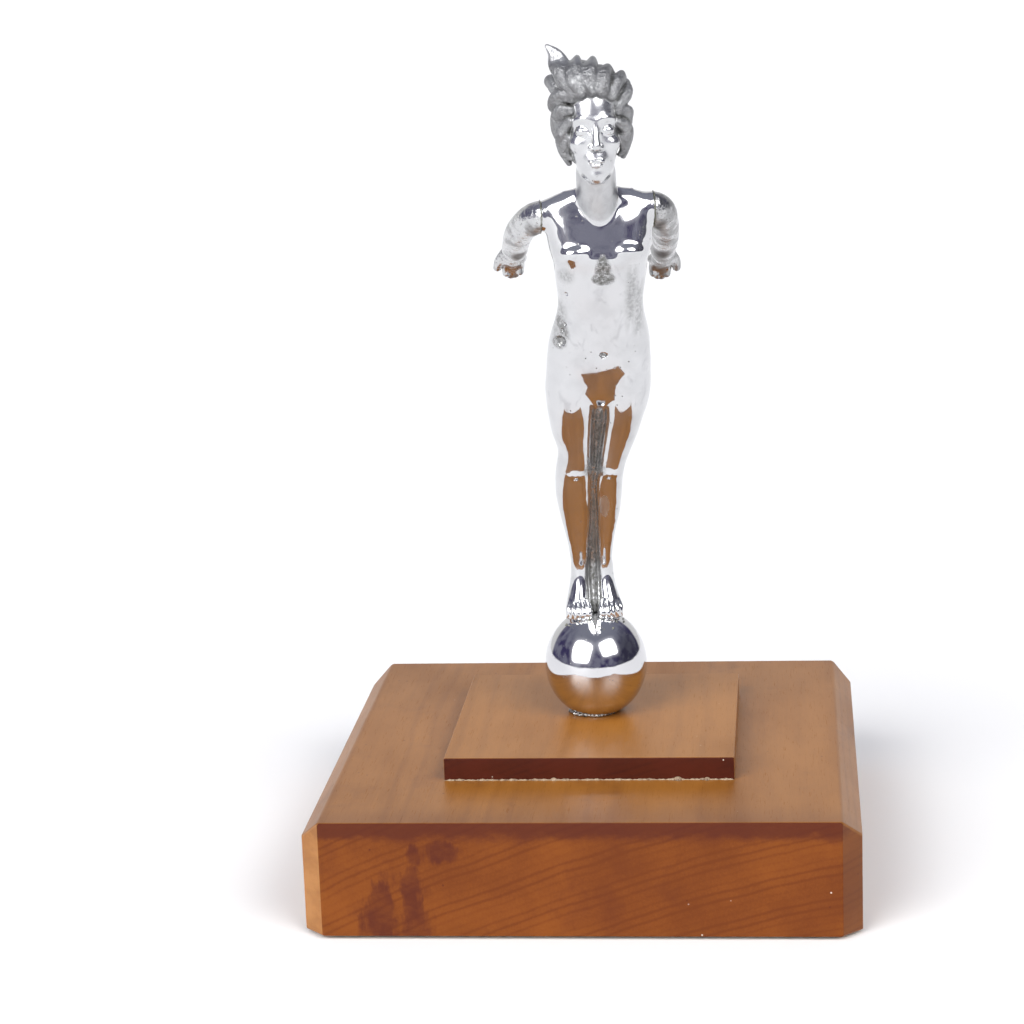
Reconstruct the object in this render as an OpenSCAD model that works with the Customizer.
// Chromed car mascot, a leaning nymph on a ball, mounted on a two-tier wooden display plinth.
// Units are millimetres, +Z is up, the front is -Y and the origin is the middle of the underside.

/* [Plinth] */
// Side of the square lower block
block_w = 140; // [130:1:170]
// Height of the lower block
block_h = 30; // [26:1:40]
// Bevel on the block's four upright corners and on its two side top edges
block_bevel = 5; // [2:0.5:8]
// Side of the square upper tier
tier_w = 75; // [60:1:90]
// Thickness of the upper tier
tier_h = 6; // [5:0.5:9]
// How far the tier was glued to the right of the block's middle
tier_shift = 0.7; // [0:0.1:2]
// Thickness of the felt under the block
felt_t = 1; // [0.6:0.1:2]
// How far the felt stops short of the block's edge
felt_inset = 2; // [1:0.5:5]
// Height of the glue that squeezed out along the tier's front edge
glue_h = 0.6; // [0.3:0.1:1]

/* [Ball and stud] */
// Width of the ball
ball_w = 27.5; // [26:0.5:29]
// Height the ball would have without its flat underside, a little more than its width
ball_tall = 29.6; // [27.5:0.1:31]
// Height of the ball's widest place above its flat underside
ball_drop = 12.5; // [11.8:0.1:13]
// Outer diameter of the collar under the ball
collar_d = 14.6; // [14:0.1:18]
// Thickness of the collar
collar_h = 1; // [0.6:0.1:2]
// How far the loose collar slipped to the left before it was clamped
collar_slip = 0.9; // [0:0.1:1]
// Stud axis to the right of the block's middle
mascot_x = 0.5; // [-3:0.1:3]
// Stud axis behind the block's middle
mascot_y = 3.5; // [-5:0.1:5]
// Diameter of the mounting stud
stud_d = 6; // [5:0.5:6]
// Diameter of the clearance hole through the wood
bore_d = 6.6; // [6.4:0.1:8]
// Diameter of the recess under the block
recess_d = 26; // [22:1:32]
// Depth of the recess under the block
recess_h = 12; // [11.5:0.5:16]

/* [Figure] */
// Turn of the figure to the plinth's right
figure_turn = 9; // [-30:1:30]
// Distance of the brazed arm joint from the figure's middle
seam_x = 14; // [13:0.1:14.5]

/* [Hidden] */
skin_fn = 20;
round_fn = 96;
// Clearance between a thread's crest and its tapped hole
thread_gap = 0.04;
// Solder gap between the soles and the ball
seat_gap = 0.03;
collar_bore_d = stud_d + 2.3;
eps = 0.01;

tier_z = felt_t + block_h;
collar_z = tier_z + tier_h;
ball_flat_z = collar_z + collar_h;
ball_top_z = ball_flat_z + ball_drop + ball_tall / 2;

// Fasteners in the recess, from the wood downwards
recess_top_z = felt_t + recess_h;
washer_d = 18;
washer_t = 1.6;
spring_d = 11.8;
spring_t = 1.6;
spring_slot = 1.2;
nut_af = 10;
nut_h = 5;
nut_z = recess_top_z - washer_t - spring_t - nut_h;
stud_end_z = nut_z - 1.4;
stud_depth = 9;
tap_extra = 1.5;
stud_chamfer = 0.8;

// Where the squeezed glue stands in drops: distance from the tier's middle, radius
glue_drops = [[-9, 0.8], [23, 1.0], [30.5, 0.8]];

// The figure's own frame: origin on top of the ball, -Y the way it faces.
// Torso sections, hips to shoulders: x, y, z, half width, half depth, half height, lean
torso = [[0.6, -24.0, 65.5, 12.6, 7.8, 6.0, 24],
         [0.7, -26.5, 71.5, 13.3, 8.4, 6.0, 24],
         [0.7, -31.5, 81.5, 12.0, 7.4, 6.0, 24],
         [0.8, -37.0, 91.5, 10.7, 6.6, 6.0, 22],
         [0.6, -41.4, 100.5, 11.6, 7.4, 5.0, 18],
         [0.5, -42.0, 108.0, 12.4, 6.4, 5.0, 8]];
// Limb stations: x, y, z, radius
shoulders = [[-13.2, -42.4, 113.4, 4.0], [-6.0, -42.8, 113.9, 4.4],
             [6.6, -42.8, 113.8, 4.4], [13.8, -42.4, 113.0, 4.0]];
neck = [[0.1, -44.0, 114.5, 4.7], [-0.6, -49.0, 123.5, 4.6]];
right_leg = [[-6.1, -25.0, 67.5, 7.2], [-6.3, -21.0, 56.0, 5.7], [-5.3, -16.4, 46.5, 4.6],
             [-5.5, -13.3, 39.0, 4.6], [-5.0, -7.8, 30.5, 4.3], [-3.9, -2.0, 21.0, 2.9],
             [-3.5, 2.2, 12.3, 2.3]];
left_leg = [[7.2, -25.0, 67.5, 7.0], [7.3, -21.0, 56.0, 5.4], [5.3, -16.4, 46.5, 4.4],
            [3.9, -13.3, 39.0, 4.1], [3.6, -7.8, 30.5, 3.8], [3.3, -2.0, 21.0, 2.6],
            [3.2, 2.2, 12.3, 2.0]];
// Underside of a foot, as offsets from its ankle in x and true in y and z: x, y, z, radius
heel = [0, 6.6, 6.6, 2.1];
foot_ball = [0.9, -0.8, 1.0, 2.6];
toes = [1.2, -2.8, -0.4, 1.9];
// The cast web between the legs: x, y, z, half thickness, half depth, half height, lean
leg_web = [[0.4, -21.0, 58.5, 1.0, 2.2, 3, 24], [-0.4, -12.2, 39.5, 1.0, 2.2, 3, 28],
           [0.0, 1.4, 11.5, 1.0, 2.0, 3, 24], [0.0, 0.2, 2.0, 1.6, 2.6, 3, 0]];
breast_x = 6.3;
breast = [0.5, -45.4, 103.0, 4.2];

// Arms, shoulder to wrist, and the hands: palm and fingertip sections
right_arm_pts = [[-14.6, -41.4, 113.0, 4.0], [-18.0, -31.0, 107.7, 3.3], [-18.9, -14.5, 100.5, 2.5]];
left_arm_pts = [[15.2, -41.4, 112.6, 4.0], [18.2, -31.0, 106.4, 3.3], [19.4, -14.5, 98.5, 2.5]];
hand_lean = 62;
palm_size = [3.4, 1.8, 4.2];
finger_size = [2.9, 1.2, 3.2];
palm_reach = 8;
finger_reach = 15;
thumb_spread = 4.4;
thumb_r = 1.3;

// Head and hair
skull = [-1.2, -47.0, 137.0, 7.6, 9.0, 9.4, 0];
face = [-1.1, -50.0, 134.0, 6.6, 6.6, 7.6, 0];
chin = [-0.8, -53.6, 123.4, 2.4];
nose_line = [[-1.1, -56.6, 135.1, 0.6], [-1.0, -57.7, 130.4, 1.0]];
brow_z = 135.9;
brow_y = -55.6;
brow_x = 3.0;
brow_r = 1.1;
mouth = [-0.9, -56.1, 126.8, 1.9, 0.8, 0.9, 0];
hair_mass = [-1.5, -45.0, 139.7, 10.0, 10.6, 9.4, 0];
// Locks of hair from root to tip: x, y, z, radius
locks = [
    [[-7.6, -48.5, 143.5, 3.4], [-9.4, -46.5, 148.5, 2.0], [-11.2, -45.5, 152.9, 0.7]],
    [[-4.2, -50.5, 144.0, 3.2], [-4.6, -46.0, 150.3, 0.8]],
    [[0.6, -50.5, 144.0, 3.2], [-0.6, -44.5, 149.9, 0.8]],
    [[5.0, -49.5, 142.0, 3.0], [6.2, -44.5, 146.1, 1.0]],
    [[-10.2, -49.5, 138.5, 2.0], [-9.0, -48.0, 131.5, 1.9], [-7.4, -46.0, 126.1, 1.2]],
    [[6.6, -49.5, 138.5, 2.2], [6.6, -48.0, 131.5, 1.8], [6.4, -46.0, 126.9, 1.1]],
    [[-6.0, -38.5, 142.5, 4.4], [-6.6, -30.0, 145.1, 1.2]],
    [[1.5, -38.5, 143.0, 4.6], [1.0, -28.5, 146.1, 1.2]],
    [[-3.0, -37.5, 135.5, 5.2], [-3.4, -28.0, 137.1, 1.4]],
    [[4.2, -38.5, 134.5, 4.4], [4.6, -30.5, 135.9, 1.2]],
    [[-1.6, -39.5, 128.0, 4.6], [-1.4, -34.0, 124.0, 1.6]]
];

// Figure building blocks
module bead(s) translate([s[0], s[1], s[2]]) sphere(s[3], $fn = skin_fn);

module oval(s)
    translate([s[0], s[1], s[2]])
    rotate([s[6], 0, 0])
    scale([s[3], s[4], s[5]])
    sphere(1, $fn = skin_fn);

module limb(stations)
    for (i = [0:len(stations) - 2])
        hull() {
            bead(stations[i]);
            bead(stations[i + 1]);
        }

module body_run(sections)
    for (i = [0:len(sections) - 2])
        hull() {
            oval(sections[i]);
            oval(sections[i + 1]);
        }

module on_ball()
    translate([mascot_x, mascot_y, ball_top_z])
    rotate(figure_turn)
    children();

// Everything outside one shoulder's brazed joint; side is 1 on the figure's left, -1 on its right
module beyond_seam(side) {
    reach = 60;
    floor_z = 92;
    mirror([side < 0 ? 1 : 0, 0, 0])
    translate([seam_x, -reach, floor_z])
    cube([reach, 2 * reach, reach]);
}

module foot(ankle, out) {
    sole = [for (p = [heel, foot_ball, toes]) [ankle[0] + out * p[0], p[1], p[2], p[3]]];
    limb([ankle, sole[0], sole[1], sole[2]]);
    limb([ankle, sole[1]]);
}

module head() {
    oval(skull);
    hull() {
        oval(face);
        bead(chin);
    }
    limb(nose_line);
    limb([for (side = [-1, 1]) [chin[0] + side * brow_x, brow_y, brow_z, brow_r]]);
    oval(mouth);
    oval(hair_mass);
    for (lock = locks) limb(lock);
}

module figure_body()
    color("silver")
    on_ball()
    difference() {
        union() {
            body_run(torso);
            hull() {
                oval(torso[len(torso) - 1]);
                for (s = shoulders) bead(s);
            }
            for (side = [-1, 1])
                bead([breast[0] + side * breast_x, breast[1], breast[2], breast[3]]);
            limb(neck);
            head();
            limb(right_leg);
            limb(left_leg);
            body_run(leg_web);
            foot(right_leg[len(right_leg) - 1], -1);
            foot(left_leg[len(left_leg) - 1], 1);
        }
        beyond_seam(-1);
        beyond_seam(1);
        translate([0, 0, -ball_tall / 2])
            scale([ball_w / 2 + seat_gap, ball_w / 2 + seat_gap, ball_tall / 2 + seat_gap])
            sphere(1, $fn = round_fn);
    }

// A hand on the end of an arm, fingers together and the thumb held out
module hand(wrist, out) {
    back = [0, sin(hand_lean), -cos(hand_lean)];
    function along(d, x) = [wrist[0] + x, wrist[1] + d * back[1], wrist[2] + d * back[2]];
    palm = concat(along(palm_reach, 0), palm_size, [hand_lean]);
    tips = concat(along(finger_reach, 0), finger_size, [hand_lean]);
    hull() {
        bead(wrist);
        oval(palm);
    }
    body_run([palm, tips]);
    limb([wrist, concat(along(palm_reach, out * thumb_spread), [thumb_r])]);
}

module arm(stations, side)
    on_ball()
    intersection() {
        union() {
            limb(stations);
            hand(stations[len(stations) - 1], side);
        }
        beyond_seam(side);
    }

module right_arm() color("gainsboro") arm(right_arm_pts, -1);

module left_arm() color("gainsboro") arm(left_arm_pts, 1);

// Round parts on the stud's axis
module on_axis(z) translate([mascot_x, mascot_y, z]) children();

module ring(outer_d, inner_d, h)
    difference() {
        cylinder(d = outer_d, h = h, $fn = round_fn);
        translate([0, 0, -eps]) cylinder(d = inner_d, h = h + 2 * eps, $fn = round_fn);
    }

// Half the ball's section: an ellipse from the flat underside up to the top
function ball_half() =
    let (low = -asin(2 * ball_drop / ball_tall), steps = 40)
    concat([[0, 0]],
           [for (i = [0:steps])
               let (a = low + (90 - low) * i / steps)
               [i == steps ? 0 : ball_w / 2 * cos(a), ball_drop + ball_tall / 2 * sin(a)]]);

module ball()
    color("lightgray")
    on_axis(ball_flat_z)
    difference() {
        rotate_extrude($fn = round_fn) polygon(ball_half());
        translate([0, 0, -eps])
            cylinder(d = stud_d + 2 * thread_gap, h = stud_depth + tap_extra, $fn = round_fn);
    }

module ball_collar()
    color("dimgray")
    on_axis(collar_z)
    translate([-collar_slip, 0, 0])
    ring(collar_d, collar_bore_d, collar_h);

module mounting_stud()
    color("darkgray")
    on_axis(stud_end_z)
    rotate_extrude($fn = round_fn)
    polygon([[0, 0],
             [stud_d / 2 - stud_chamfer, 0],
             [stud_d / 2, stud_chamfer],
             [stud_d / 2, ball_flat_z + stud_depth - stud_chamfer - stud_end_z],
             [stud_d / 2 - stud_chamfer, ball_flat_z + stud_depth - stud_end_z],
             [0, ball_flat_z + stud_depth - stud_end_z]]);

module clamp_washer()
    color("darkgray")
    on_axis(recess_top_z - washer_t)
    ring(washer_d, stud_d + 0.4, washer_t);

// Split ring, closed flat under the nut's load
module spring_washer()
    color("gray")
    on_axis(recess_top_z - washer_t - spring_t)
    difference() {
        ring(spring_d, stud_d + 0.3, spring_t);
        translate([0, -spring_slot / 2, -eps]) cube([spring_d, spring_slot, spring_t + 2 * eps]);
    }

module hex_nut()
    color("darkgray")
    on_axis(nut_z)
    difference() {
        cylinder(d = nut_af / cos(30), h = nut_h, $fn = 6);
        translate([0, 0, -eps])
            cylinder(d = stud_d + 2 * thread_gap, h = nut_h + 2 * eps, $fn = round_fn);
    }

// Woodwork
module bevelled_square(side, bevel) {
    h = side / 2;
    c = h - bevel;
    polygon([[-c, -h], [c, -h], [h, -c], [h, c], [c, h], [-c, h], [-h, c], [-h, -c]]);
}

module top_tier()
    color("peru")
    difference() {
        translate([tier_shift - tier_w / 2, -tier_w / 2, tier_z]) cube([tier_w, tier_w, tier_h]);
        on_axis(tier_z - eps) cylinder(d = bore_d, h = tier_h + 2 * eps, $fn = round_fn);
    }

module base_block() {
    half = block_w / 2;
    top = block_h - block_bevel;
    color("sienna")
    difference() {
        intersection() {
            translate([0, 0, felt_t])
                linear_extrude(block_h)
                bevelled_square(block_w, block_bevel);
            translate([0, half, felt_t])
                rotate([90, 0, 0])
                linear_extrude(block_w)
                polygon([[-half, 0], [half, 0], [half, top], [half - block_bevel, block_h],
                         [block_bevel - half, block_h], [-half, top]]);
        }
        on_axis(felt_t) cylinder(d = bore_d, h = block_h + eps, $fn = round_fn);
        on_axis(felt_t - eps) cylinder(d = recess_d, h = recess_h + eps, $fn = round_fn);
    }
}

// A low fillet of dried glue along the tier's front edge, with drops where more came out
module glue_bead() {
    front_y = -tier_w / 2;
    color("ivory")
    translate([tier_shift, front_y, tier_z]) {
        rotate([90, 0, 90])
            translate([0, 0, -tier_w / 2])
            linear_extrude(tier_w)
            polygon([[0, 0], [-glue_h, 0], [0, glue_h]]);
        for (drop = glue_drops)
            intersection() {
                translate([drop[0], 0, 0]) sphere(drop[1], $fn = round_fn);
                translate([-tier_w / 2, -2 * drop[1], 0]) cube([tier_w, 2 * drop[1], 2 * drop[1]]);
            }
    }
}

module felt_pad()
    color("darkgreen")
    linear_extrude(felt_t)
    bevelled_square(block_w - 2 * felt_inset, block_bevel);

figure_body();
right_arm();
left_arm();
ball();
ball_collar();
mounting_stud();
top_tier();
base_block();
glue_bead();
clamp_washer();
spring_washer();
hex_nut();
felt_pad();
